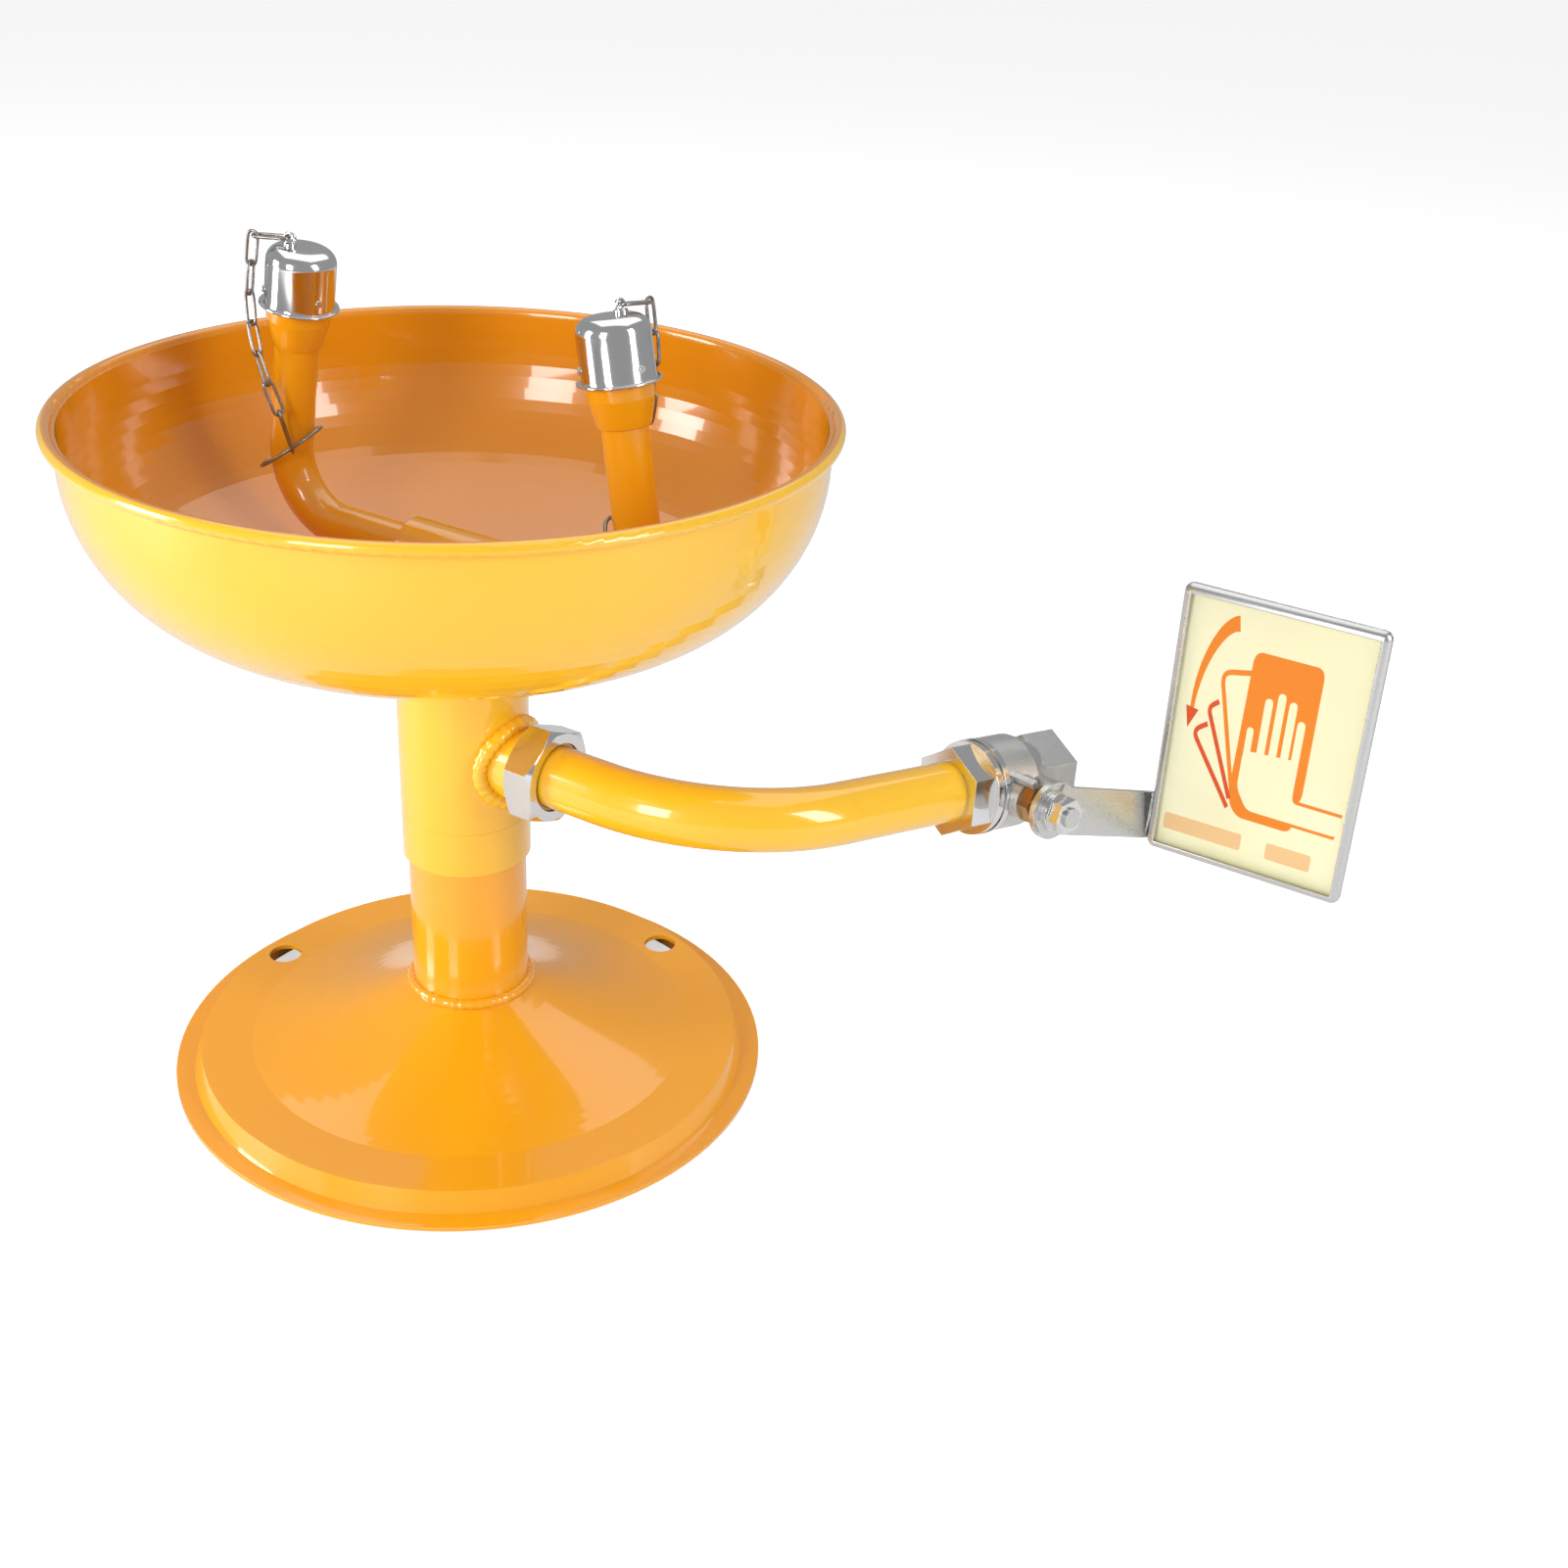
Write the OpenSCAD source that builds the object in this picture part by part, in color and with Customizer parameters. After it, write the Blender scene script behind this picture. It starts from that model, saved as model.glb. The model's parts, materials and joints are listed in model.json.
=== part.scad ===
// Bench-mounted emergency eyewash station. Millimetres, +Z up.
// The origin is the centre of the base on the bench top; the user stands at -Y and the
// supply enters on the +X side of the column.

/* [Bowl] */
// Diameter of the bowl over its rolled rim
bowl_d = 290; // [250:1:340]
// Height of the rim above the bench
rim_h = 285; // [250:1:330]
// Depth of the bowl, rim to underside
bowl_depth = 96; // [84:1:110]
// Thickness of the bowl's sheet
bowl_wall = 1.6; // [1.2:0.1:2.5]
// Diameter of the rolled rim bead
rim_bead_d = 5; // [4:0.5:7]
// How far the wall stands inside the rim bead
rim_step = 4.5; // [3.5:0.5:6]
// Outside radius of the curve between the bowl's wall and floor
knuckle_r = 64; // [50:1:75]
// How far below the rim the bowl's straight wall ends
wall_drop = 13.93; // [8:0.01:18]

/* [Base] */
// Diameter of the base flange
base_d = 248; // [230:1:290]
// Width of the brim that lies on the bench
brim_w = 7.5; // [5:0.5:12]
// Radial run of the step between brim and bolting ring
step_run = 3.5; // [2:0.5:6]
// Height of the bolting ring above the brim
step_h = 8.5; // [5:0.5:14]
// Width of the flat bolting ring
ring_w = 20.5; // [18:0.5:26]
// Height of the top of the base cone
cone_h = 35; // [30:1:50]
// How far the cone's side sags below a straight line
cone_sag = 4; // [1:0.5:6]
// Thickness of the base's sheet
base_sheet = 2; // [1.5:0.1:3]
// Diameter of the anchor holes
anchor_d = 14; // [8:0.5:14]
// Diameter of the circle the anchor holes lie on
anchor_pcd = 206; // [204:1:208]
// Direction of the anchor hole at the back
anchor_back = 74; // [60:1:90]
// Direction of the anchor hole on the left
anchor_left = 185; // [170:1:200]

/* [Column] */
// Outside diameter of the lower column tube
tube_d = 48; // [40:1:52]
// Wall of the lower column tube
tube_wall = 2; // [1.5:0.1:3]
// Outside diameter of the upper column and its socket
sleeve_d = 52; // [52:1:60]
// Height of the socket's lower edge
socket_z = 98; // [90:1:108]
// Length of the socket below the seam
socket_l = 19; // [10:1:20]

/* [Supply] */
// Outside diameter of the supply pipe
supply_d = 25; // [20:0.5:26]
// Bore of the supply pipe
supply_bore = 20; // [14:0.5:21]
// Height of the supply inlet's axis
supply_z = 145; // [144:1:152]
// Downward slope of the supply arm, turned about the inlet's axis
supply_droop = 7; // [0:1:12]
// Bend of the supply pipe
supply_bend = 70; // [50:1:90]
// Radius of the supply pipe's bend
supply_bend_r = 80; // [60:1:110]
// Where the bend starts, from the column's axis
supply_bend_x = 70; // [60:1:90]
// Straight length between bend and valve
supply_reach = 56.5; // [40:0.5:90]
// How much wider the inlet boss is than the supply pipe
boss_over = 5; // [3:0.5:5]
// Thickness of the union nut's wall at its flats
nut_wall = 2.85; // [2.4:0.05:5]
// Length of the union nut
union_l = 13; // [12:0.5:18]

/* [Spray arms] */
// Outside diameter of the spray arm pipes
arm_d = 17; // [15:0.5:18]
// Bore of the spray arm pipes
arm_bore = 13; // [8:0.5:13]
// How far the spray arms' axis lies below the rim
arm_drop = 62; // [57:1:65]
// Where each arm's two axes cross, from the column's axis
arm_x = 89.4; // [80:0.2:100]
// Radius of each arm's bend
arm_bend_r = 26; // [22:1:32]
// Inward lean of the nozzles
lean = 9.2; // [0:0.2:15]
// Length of each upright, up to the top of its cap
upright = 109; // [100:1:125]
// Outside diameter of the spray heads
head_d = 24; // [22:0.5:26]
// Height of the dust caps
cap_h = 23; // [20:0.5:26]
// Thickness of the caps' sheet
cap_wall = 0.8; // [0.6:0.1:1.2]
// Diameter of the caps' flange
cap_flange_d = 30; // [28:0.5:30]

/* [Valve] */
// Diameter of the valve body
valve_d = 39; // [36:0.5:42]
// Width across flats of the valve's hexagon ends
valve_af = 33; // [31:0.5:35]
// From the ball's centre to the end that takes the supply pipe
valve_in = 25; // [24:0.5:30]
// From the ball's centre to the free inlet end
valve_out = 33; // [32:0.5:40]
// Radius of the threaded socket at each end
thread_r = 12.1; // [9:0.1:12.2]
// Depth of the threaded sockets
thread_l = 13; // [10:0.5:14]
// Radius of the ball
ball_r = 14; // [12.5:0.5:14.5]
// Radius of the way through the ball
ball_bore_r = 8; // [6:0.5:8.5]
// Upward turn of the stem about the valve's own axis
valve_roll = 3.2; // [0:0.2:15]
// Radius of the stem
stem_r = 4; // [3:0.5:4.5]

/* [Lever and push plate] */
// Distance of the lever's inner face from the ball's centre
lever_y = 34.5; // [34.5:0.5:40]
// Thickness of the lever strip
lever_t = 2.5; // [2:0.5:4]
// Width of the lever strip
lever_w = 20; // [16:0.5:22]
// Length of the lever strip, stem to fold
lever_l = 61.5; // [50:0.5:75]
// Downward slope of the lever strip from the valve's axis
lever_droop = 11.2; // [0:0.2:20]
// Length of the folded tab behind the push plate
tab_l = 56; // [40:1:64]
// Width of the push plate
plate_w = 82; // [70:1:100]
// Height of the push plate
plate_h = 118; // [100:1:125]
// Thickness of the push plate
plate_t = 1.5; // [1:0.1:2]
// Depth of the push plate's folded lip
lip = 3.5; // [2:0.5:5]
// Thickness of the pictogram label
label_t = 0.3; // [0.2:0.1:0.6]

/* [Chains] */
// Diameter of the chain wire
wire_d = 1.4; // [1.2:0.1:1.4]
// Width of a chain link
link_w = 5.4; // [5.2:0.1:5.6]
// Radius of the ring round each spray arm, to the centre of its wire
pipe_ring_r = 14; // [13.8:0.1:14.5]

/* [Hidden] */
$fn = 64;
fit = 0.15;     // clearance round a piece seated in another of the same body
run = 0.08;     // running clearance round the ball and stem
over = 1;       // how far a cut runs past the face that it opens
lap = 0.4;      // how far a straight length of pipe runs into its bend
skin = 0.03;    // how much thinner the bend's wall is on each side

// bowl
bead_r = rim_bead_d / 2;
wall_r = bowl_d / 2 - rim_step;
knuckle_x = wall_r - knuckle_r;
knuckle_z = rim_h - wall_drop;
knuckle_h = bowl_depth - wall_drop;           // from the bowl's underside to the knuckle's centre
// the floor's radius, so that it runs into the knuckle without a corner
crown_r = (pow(knuckle_x, 2) + pow(knuckle_h, 2) - pow(knuckle_r, 2)) / (2 * (knuckle_h - knuckle_r));
crown_z = rim_h - bowl_depth + crown_r;
knuckle_a = asin(knuckle_x / (crown_r - knuckle_r));
seat_r = 30;                                  // flat seat for the drain in the floor
drain_r = 19.3;                               // hole in the floor
function dish_z(r, s) = crown_z - sqrt(s * s - r * r);
seat_under = dish_z(seat_r, crown_r);
seat_top = dish_z(seat_r, crown_r - bowl_wall);

// base
base_r = base_d / 2;
ring_top = base_sheet + step_h;
step_r = base_r - brim_w;
ring_out = step_r - step_run;
ring_in = ring_out - ring_w;
tube_r = tube_d / 2;
tube_in = tube_r - tube_wall;
cone_top_r = tube_r + 0.25;
weld_w = 3.2;

// column
sleeve_r = sleeve_d / 2;
seam_z = socket_z + socket_l;
upper_in = tube_in + 1;                       // its lower end rests on the column tube

// supply
supply_r = supply_d / 2;
boss_r = supply_r + boss_over / 2;
boss_in_x = tube_in - 0.5;
nut_x = sleeve_r + 9;
boss_out_x = nut_x + 5;
boss_bore = 10.4;
gasket_t = 1.5;
tail_t = 2;
tail_r = boss_r - 0.4;
collar_r = supply_r + 1.3;
union_in = boss_r + fit;
union_af = 2 * (union_in + nut_wall);
nut_lip_x = boss_out_x + gasket_t + tail_t + fit;
elbow_r = 20;                                 // bend radius of the internal elbow
riser_r = 10;
riser_bore = 8;
arm_z = rim_h - arm_drop;
riser_top = arm_z - 9;

// spray arms
arm_r = arm_d / 2;
tee_r = 12.5;
tee_l = 22;
tee_socket = 9;
arm_tangent = arm_bend_r * tan((90 + lean) / 2);
head_r = head_d / 2;
mouth = upright - cap_h;                      // the cap's open end, along the upright
cap_in = head_r + 0.3;
cap_r = cap_in + cap_wall;
head_top = upright - 10;
head_foot = mouth - 15;
flange_r = cap_flange_d / 2;

// valve: X along the flow, stem along -Y, origin at the ball's centre
valve_r = valve_d / 2;
hex_in_l = 11;                                // hexagon of the end cap
ring_l = 6.5;                                 // round shoulder of the end cap
cap_joint = -(valve_in - hex_in_l - ring_l);  // where the end cap meets the body
hex_out_x = 15;                               // where the body's hexagon starts
cavity_r = ball_r + 0.6;
cap_thread_l = valve_in - ball_r - 3;         // depth of the end cap's threaded socket
seal_r = cavity_r + 1.5;
gland_y = 24;
gland_l = 5.5;
gland_af = 15;
stem_end = 47;
lug_r0 = 9.3;
lug_r1 = 12;
ear_angle = 95;                               // lever ear at rest, from the flow axis
lug_gap = 23.5;                               // from the ear to a lug, centre to centre
washer_t = 1;
nut_af = 13;
nut_l = 6;
nut_flange_t = 1.5;
nut_flange_r = 8;

// chains: where each link's wire is held by the next, as radius, angle and distance along the
// upright
left_hang = 211;                              // direction in which the left chain hangs
right_hang = 80;                              // the right chain hangs behind its nozzle
right_wind = 0.45;                            // and winds less far round it than the left one
left_twist = 8.79;                            // each link's turn, so that the last fits the ring
right_twist = -8.9;
ring_tilt = 43;
ring_high = 168;
ring_at = 28;
ring_join = 58;                               // where the last link sits on the ring
ring_join_r = pipe_ring_r * sqrt(pow(cos(ring_join) * cos(ring_tilt), 2) + pow(sin(ring_join), 2));
ring_join_a = ring_high - atan(tan(ring_join) / cos(ring_tilt));
ring_join_d = ring_at + pipe_ring_r * cos(ring_join) * sin(ring_tilt);
ROUTE = [
    [6.5, 0, upright + 2.4], [18.4, 0, upright + 1], [18.6, 2, upright - 10.3],
    [18.4, 8, upright - 21.2], [17, 22, upright - 31.5], [16, 42, upright - 41.4],
    [15.6, 64, upright - 51.4], [15, 84, upright - 62], [ring_join_r, ring_join_a, ring_join_d],
];
link_hook = wire_d + 0.3;                     // between the wire centres of two hooked links

function chain_hang(side) = side < 0 ? left_hang : right_hang;
function rot_x(a, p) = [p.x, p.y * cos(a) - p.z * sin(a), p.y * sin(a) + p.z * cos(a)];
function rot_y(a, p) = [p.x * cos(a) + p.z * sin(a), p.y, p.z * cos(a) - p.x * sin(a)];
function rot_z(a, p) = [p.x * cos(a) - p.y * sin(a), p.x * sin(a) + p.y * cos(a), p.z];
function arc(c, r, a0, a1, n) =
    [for (i = [0:n]) let (a = a0 + (a1 - a0) * i / n) c + r * [cos(a), sin(a)]];

// where the supply pipe's bend ends, in the arm's own tilted plane
bend_end = [supply_bend_x + supply_bend_r * sin(supply_bend), supply_bend_r * (1 - cos(supply_bend)), 0];
// a point of the valve's own frame, in the part's frame
function valve_point(p) = [0, 0, supply_z] + rot_x(-supply_droop, bend_end
    + rot_z(supply_bend, [supply_reach + valve_in, 0, 0] + rot_x(-valve_roll, p)));
fold = valve_point(rot_y(lever_droop, [lever_l, -(lever_y + lever_t / 2), 0]));
plate_x = fold.x + 2.5;
plate_z = fold.z - lever_w / 2 - 1.5;
rivet_r = 2;
rivet_xs = [plate_x + 14, plate_x + 42];

// ---- helpers

module ring(r_out, r_in, z0, z1) {
    difference() {
        translate([0, 0, z0]) cylinder(r = r_out, h = z1 - z0);
        translate([0, 0, z0 - over]) cylinder(r = r_in, h = z1 - z0 + 2 * over);
    }
}

module rod(r, z0, z1) {
    translate([0, 0, z0]) cylinder(r = r, h = z1 - z0);
}

// a bent length of tube in the XY plane: it starts at the origin along X and turns towards +Y
module tube_bend(r_out, r_in, bend_r, angle) {
    translate([0, bend_r, 0]) rotate([0, 0, -90]) rotate_extrude(angle = angle)
        translate([bend_r, 0]) difference() {
            circle(r = r_out - skin);
            circle(r = r_in + skin);
        }
}

module hex_rod(af, z0, z1) {
    translate([0, 0, z0]) cylinder(r = af / 2 / cos(30), h = z1 - z0, $fn = 6);
}

// turns a child drawn along Z so that it lies along X
module along_x() {
    rotate([0, 90, 0]) children();
}

// turns a child drawn along Z so that it lies along the valve's stem, -Y
module along_stem() {
    rotate([90, 0, 0]) children();
}

module at_supply() {
    translate([0, 0, supply_z]) rotate([-supply_droop, 0, 0]) children();
}

module at_valve() {
    at_supply() translate(bend_end) rotate([0, 0, supply_bend])
        translate([supply_reach + valve_in, 0, 0]) rotate([-valve_roll, 0, 0]) children();
}

// side is -1 on the left and 1 on the right; Z runs up the upright's axis
module at_upright(side) {
    translate([side * arm_x, 0, arm_z]) rotate([0, -side * lean, 0]) children();
}

module weld_bead(r, w, h) {
    rotate_extrude() polygon(concat([[r, 0]], [[r + w, 0]],
        [for (a = [15:15:75]) [r + w * cos(a), h * sin(a)]], [[r, h]]));
}

// ---- base and column

function cone_arc(drop) =
    let (a = [cone_top_r, cone_h - drop], b = [ring_in, ring_top - drop], n = 14)
    [for (i = [0:n]) let (t = i / n) a + (b - a) * t - [0, 4 * cone_sag * t * (1 - t)]];

module base_flange() {
    color("orange") difference() {
        rotate_extrude($fn = 120) polygon(concat(
            cone_arc(0),
            [[ring_out, ring_top], [step_r, base_sheet], [base_r, base_sheet], [base_r, 0],
             [step_r - base_sheet * 0.9, 0], [ring_out - base_sheet * 0.9, ring_top - base_sheet]],
            [for (i = [14:-1:0]) cone_arc(base_sheet)[i]]));
        for (a = [anchor_back, anchor_left]) rotate([0, 0, a])
            translate([anchor_pcd / 2, 0, 0]) cylinder(d = anchor_d, h = ring_top + over);
    }
}

module base_weld() {
    color("orange") translate([0, 0, cone_h + 0.05])
        weld_bead(tube_r + 0.05, weld_w, 3);
}

module column_tube() {
    color("orange") ring(tube_r, tube_in, 0, seam_z);
}

module column_socket() {
    color("gold") ring(sleeve_r, tube_r + 0.1, socket_z, seam_z);
}

module upper_column() {
    color("gold") difference() {
        ring(sleeve_r, upper_in, seam_z, seat_under);
        translate([0, 0, supply_z]) along_x() rod(boss_r + 0.05, 0, sleeve_r + over);
    }
}

module inlet_boss() {
    color("gold") translate([0, 0, supply_z]) along_x() ring(boss_r, boss_bore, boss_in_x, boss_out_x);
}

module boss_weld() {
    color("gold") difference() {
        translate([0, 0, supply_z]) along_x() rotate_extrude() polygon(concat(
            [[boss_r + 0.05, 20]], [[boss_r + 4.2, 20]],
            [for (a = [0:15:75]) [boss_r + 4.2 * cos(a), sleeve_r - 1 + 5 * sin(a)]],
            [[boss_r + 0.05, sleeve_r + 4]]));
        rod(sleeve_r + 0.05, supply_z - 30, supply_z + 30);
    }
}

module supply_elbow() {
    color("silver") translate([elbow_r, 0, supply_z]) {
        along_x() ring(riser_r, riser_bore, -lap, boss_out_x - elbow_r - 6);
        rotate([90, 0, 180]) tube_bend(riser_r, riser_bore, elbow_r, 90);
    }
}

module supply_riser() {
    color("silver") ring(riser_r, riser_bore, supply_z + elbow_r, riser_top);
}

// ---- bowl and drain

module bowl() {
    inner = crown_r - bowl_wall;
    outer_pts = concat(
        arc([0, crown_z], crown_r, -90 + asin(seat_r / crown_r), -90 + knuckle_a, 12),
        arc([knuckle_x, knuckle_z], knuckle_r, -90 + knuckle_a, 0, 14));
    inner_pts = concat(
        arc([knuckle_x, knuckle_z], knuckle_r - bowl_wall, 0, -90 + knuckle_a, 14),
        arc([0, crown_z], inner, -90 + knuckle_a, -90 + asin(seat_r / inner), 12));
    color("orange") union() {
        rotate_extrude($fn = 160) polygon(concat(
            [[drain_r, seat_under]], outer_pts,
            [[wall_r, rim_h - bead_r], [wall_r - bowl_wall, rim_h - bead_r]],
            inner_pts, [[drain_r, seat_top]]));
        rotate_extrude($fn = 160) translate([bowl_d / 2 - bead_r, rim_h - bead_r]) circle(r = bead_r, $fn = 24);
        rotate_extrude($fn = 160) translate([wall_r - bowl_wall, rim_h - rim_bead_d])
            square([rim_step - bead_r + bowl_wall, rim_bead_d / 2]);
    }
}

module drain_gasket() {
    color("dimgray") ring(28, drain_r + 0.4, seat_top, seat_top + 1);
}

module drain_strainer() {
    z = seat_top + 1;
    color("silver") difference() {
        union() {
            rod(27, z, z + 1.5);
            rod(drain_r - fit, seat_under - 8, z);
        }
        rod(drain_r - fit - 1.8, seat_under - 9, z - 0.01);
        rod(riser_r + fit, seat_under - 9, z + 3);
        for (i = [0:11]) rotate([0, 0, 15 + i * 30]) translate([14, 0, z - over]) cylinder(r = 2.2, h = 4);
        for (i = [0:15]) rotate([0, 0, i * 22.5]) translate([23, 0, z + 0.7]) cylinder(r = 1.6, h = 2);
    }
}

module drain_locknut() {
    color("silver") ring(upper_in - 0.6, drain_r + fit, seat_under - 6, seat_under);
}

module spray_tee() {
    color("orange") difference() {
        union() {
            translate([0, 0, arm_z]) along_x() rod(tee_r, -tee_l, tee_l);
            rod(tee_r + 1, arm_z - 17, arm_z);
        }
        translate([0, 0, arm_z]) along_x() {
            rod(arm_bore / 2, -tee_l - over, tee_l + over);
            rod(arm_r + 0.1, -tee_l - over, -tee_socket);
            rod(arm_r + 0.1, tee_socket, tee_l + over);
        }
        rod(riser_bore, arm_z - 18, arm_z);
        rod(riser_r + 0.1, arm_z - 18, riser_top);
    }
}

// the pipe runs out along X, bends up and leans back in
module spray_arm(side) {
    start = arm_x - arm_tangent;
    color("orange") rotate([0, 0, side > 0 ? 0 : 180]) {
        translate([0, 0, arm_z]) along_x() ring(arm_r, arm_bore / 2, tee_socket, start + lap);
        translate([start, 0, arm_z]) rotate([90, 0, 0]) tube_bend(arm_r, arm_bore / 2, arm_bend_r, 90 + lean);
        at_upright(1) ring(arm_r, arm_bore / 2, arm_tangent - lap, head_foot + 6);
    }
}

module spray_head(side) {
    color("orange") at_upright(side) difference() {
        rotate_extrude() polygon([
            [0, head_foot], [arm_r + 1, head_foot], [arm_r + 1.6, head_foot + 2],
            [head_r, head_foot + 10], [head_r, head_top], [0, head_top]]);
        rod(arm_r + 0.1, head_foot - over, head_foot + 6);
        rod(arm_bore / 2, head_foot, head_top + over);
        translate([0, 0, head_foot + 9]) cylinder(r = head_r - 2.4, h = head_top - head_foot);
        rod(head_r - 1.4, head_top - 4, head_top + over);
    }
}

module spray_disc(side) {
    color("silver") at_upright(side) difference() {
        rod(head_r - 1.4 - fit, head_top - 4, head_top - 1);
        translate([0, 0, head_top - 4 - over]) for (i = [0:7]) rotate([0, 0, i * 45]) {
            translate([7.6, 0, 0]) cylinder(r = 0.9, h = 5);
            rotate([0, 0, 22.5]) translate([4.2, 0, 0]) cylinder(r = 0.8, h = 5);
        }
    }
}

module head_filter(side) {
    color("gainsboro") at_upright(side) rod(head_r - 2.4 - fit, head_top - 5.5, head_top - 4);
}

// ---- dust caps and chains

module cap_shell(side) {
    fillet = 4;
    color("silver") at_upright(side) rotate_extrude() polygon(concat(
        [[cap_in, mouth], [flange_r, mouth], [flange_r, mouth + 1], [cap_r, mouth + 1]],
        arc([cap_r - fillet, upright - fillet], fillet, 0, 90, 6),
        [[0, upright], [0, upright - cap_wall]],
        arc([cap_in - fillet + cap_wall, upright - fillet], fillet - cap_wall, 90, 0, 6)));
}

module cap_rivets(side) {
    color("dimgray") at_upright(side) for (a = [0, 120, 240])
        rotate([0, 0, a - 14]) translate([cap_r + 0.02, 0, mouth + 5.5]) rotate([0, 90, 0])
            cylinder(r = 1.3, h = 0.7);
}

module cap_eye(side) {
    color("silver") at_upright(side) rotate([0, 0, chain_hang(side)]) translate([4.6, 0, upright]) {
        difference() {
            cylinder(r = 2.6, h = 0.9);
            translate([1.7, 0, 1.9]) rotate([90, 0, 0]) cylinder(r = wire_d / 2 + 0.3, h = 8, center = true);
        }
        translate([0, 0, 2.5]) rotate([90, 0, 0]) rotate([0, 0, -60])
            rotate_extrude(angle = 300) translate([1.9, 0]) circle(r = 0.6);
    }
}

// a stadium loop of wire standing along Z, centred on the origin
module chain_link(l, w) {
    turn_n = 7;       // wire sections round each end
    side_n = 6;       // sides of the wire
    c = (w - wire_d) / 2;
    s = (l - w) / 2;
    sections = [for (e = [1, -1], i = [0:turn_n - 1])
        let (a = 180 * i / (turn_n - 1) + (e > 0 ? 0 : 180)) [c * cos(a), e * s + c * sin(a), a]];
    n = len(sections);
    pts = [for (q = sections, k = [0:side_n - 1])
        let (b = 360 * k / side_n, r = wire_d / 2)
        [q[0] + r * cos(b) * cos(q[2]), r * sin(b), q[1] + r * cos(b) * sin(q[2])]];
    faces = [for (i = [0:n - 1], k = [0:side_n - 1])
        let (j = (i + 1) % n, m = (k + 1) % side_n)
        [i * side_n + k, j * side_n + k, j * side_n + m, i * side_n + m]];
    polyhedron(pts, faces);
}

module chain(side) {
    wind = side < 0 ? 1 : right_wind;
    twist = side < 0 ? left_twist : right_twist;
    pts = [for (p = ROUTE) [p[0] * cos(p[1] * wind), p[0] * sin(p[1] * wind), p[2]]];
    last = len(pts) - 2;
    color("gray") at_upright(side) rotate([0, 0, chain_hang(side)]) for (i = [0:last]) {
        u = (pts[i + 1] - pts[i]) / norm(pts[i + 1] - pts[i]);
        start = pts[i] - link_hook * u;
        end = pts[i + 1] + (i == last ? link_hook : 0) * u;
        lie = atan2(-u.y, -u.x);
        translate((start + end) / 2) rotate([0, acos(-u.z), lie])
            rotate([0, 0, (i % 2 == 0 ? 90 : 0) - lie - i * twist])
                chain_link(norm(end - start) + wire_d, link_w);
    }
}

module pipe_ring(side) {
    turn = chain_hang(side) + (side < 0 ? 0 : (right_wind - 1) * ring_join_a);
    color("gray") at_upright(side) rotate([0, 0, turn + ring_high]) translate([0, 0, ring_at])
        rotate([0, -ring_tilt, 0]) rotate([0, 0, 75])
            rotate_extrude(angle = 352) translate([pipe_ring_r, 0]) circle(d = wire_d + 0.1);
}

// ---- union and supply pipe

module union_gasket() {
    color("dimgray") at_supply() along_x() ring(tail_r, boss_bore, boss_out_x, boss_out_x + gasket_t);
}

module union_tail() {
    x0 = boss_out_x + gasket_t;
    color("orange") at_supply() along_x() difference() {
        union() {
            rod(tail_r, x0, x0 + tail_t);
            rod(collar_r, x0, nut_x + union_l - 1);
        }
        rod(supply_bore / 2, x0 - over, nut_x + union_l);
        rod(supply_r + 0.1, x0 + tail_t, nut_x + union_l);
    }
}

module union_nut() {
    color("whitesmoke") at_supply() along_x() rotate([0, 0, 15]) difference() {
        intersection() {
            hex_rod(union_af, nut_x, nut_x + union_l);
            rotate_extrude() polygon([
                [0, nut_x], [union_af / 2 - 0.2, nut_x], [union_af / 2 / cos(30) + 0.2, nut_x + 1.8],
                [union_af / 2 / cos(30) + 0.2, nut_x + union_l - 1.8],
                [union_af / 2 - 0.2, nut_x + union_l], [0, nut_x + union_l]]);
        }
        rod(union_in, nut_x - over, nut_lip_x);
        rod(collar_r + fit, nut_x - over, nut_x + union_l + over);
    }
}

module supply_pipe() {
    bore_r = supply_bore / 2;
    color("gold") at_supply() {
        along_x() ring(supply_r, bore_r, boss_out_x + gasket_t + tail_t, supply_bend_x + lap);
        translate([supply_bend_x, 0, 0]) tube_bend(supply_r, bore_r, supply_bend_r, supply_bend);
        translate(bend_end) rotate([0, 0, supply_bend]) along_x() {
            ring(supply_r, bore_r, -lap, supply_reach);
            // the end that screws into the valve is turned down to its thread
            ring(thread_r - 0.1, bore_r - 0.1, supply_reach - lap, supply_reach + cap_thread_l - 0.5);
        }
    }
}

// ---- valve

module valve_end_cap() {
    color("silver") at_valve() along_x() difference() {
        union() {
            hex_rod(valve_af, -valve_in, cap_joint - ring_l + 0.01);
            rod(valve_r, cap_joint - ring_l, cap_joint - 3.6);
            rod(valve_r - 1, cap_joint - 3.7, cap_joint - 2.6);
            rod(valve_r + 0.4, cap_joint - 2.7, cap_joint);
        }
        rod(thread_r, -valve_in - over, -valve_in + cap_thread_l);
        rod(ball_bore_r, -valve_in, cap_joint + over);
        rod(ball_bore_r + 4, -ball_r - 1.5, cap_joint + over);
        rod(seal_r, cap_joint - 1, cap_joint + over);
    }
}

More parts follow.
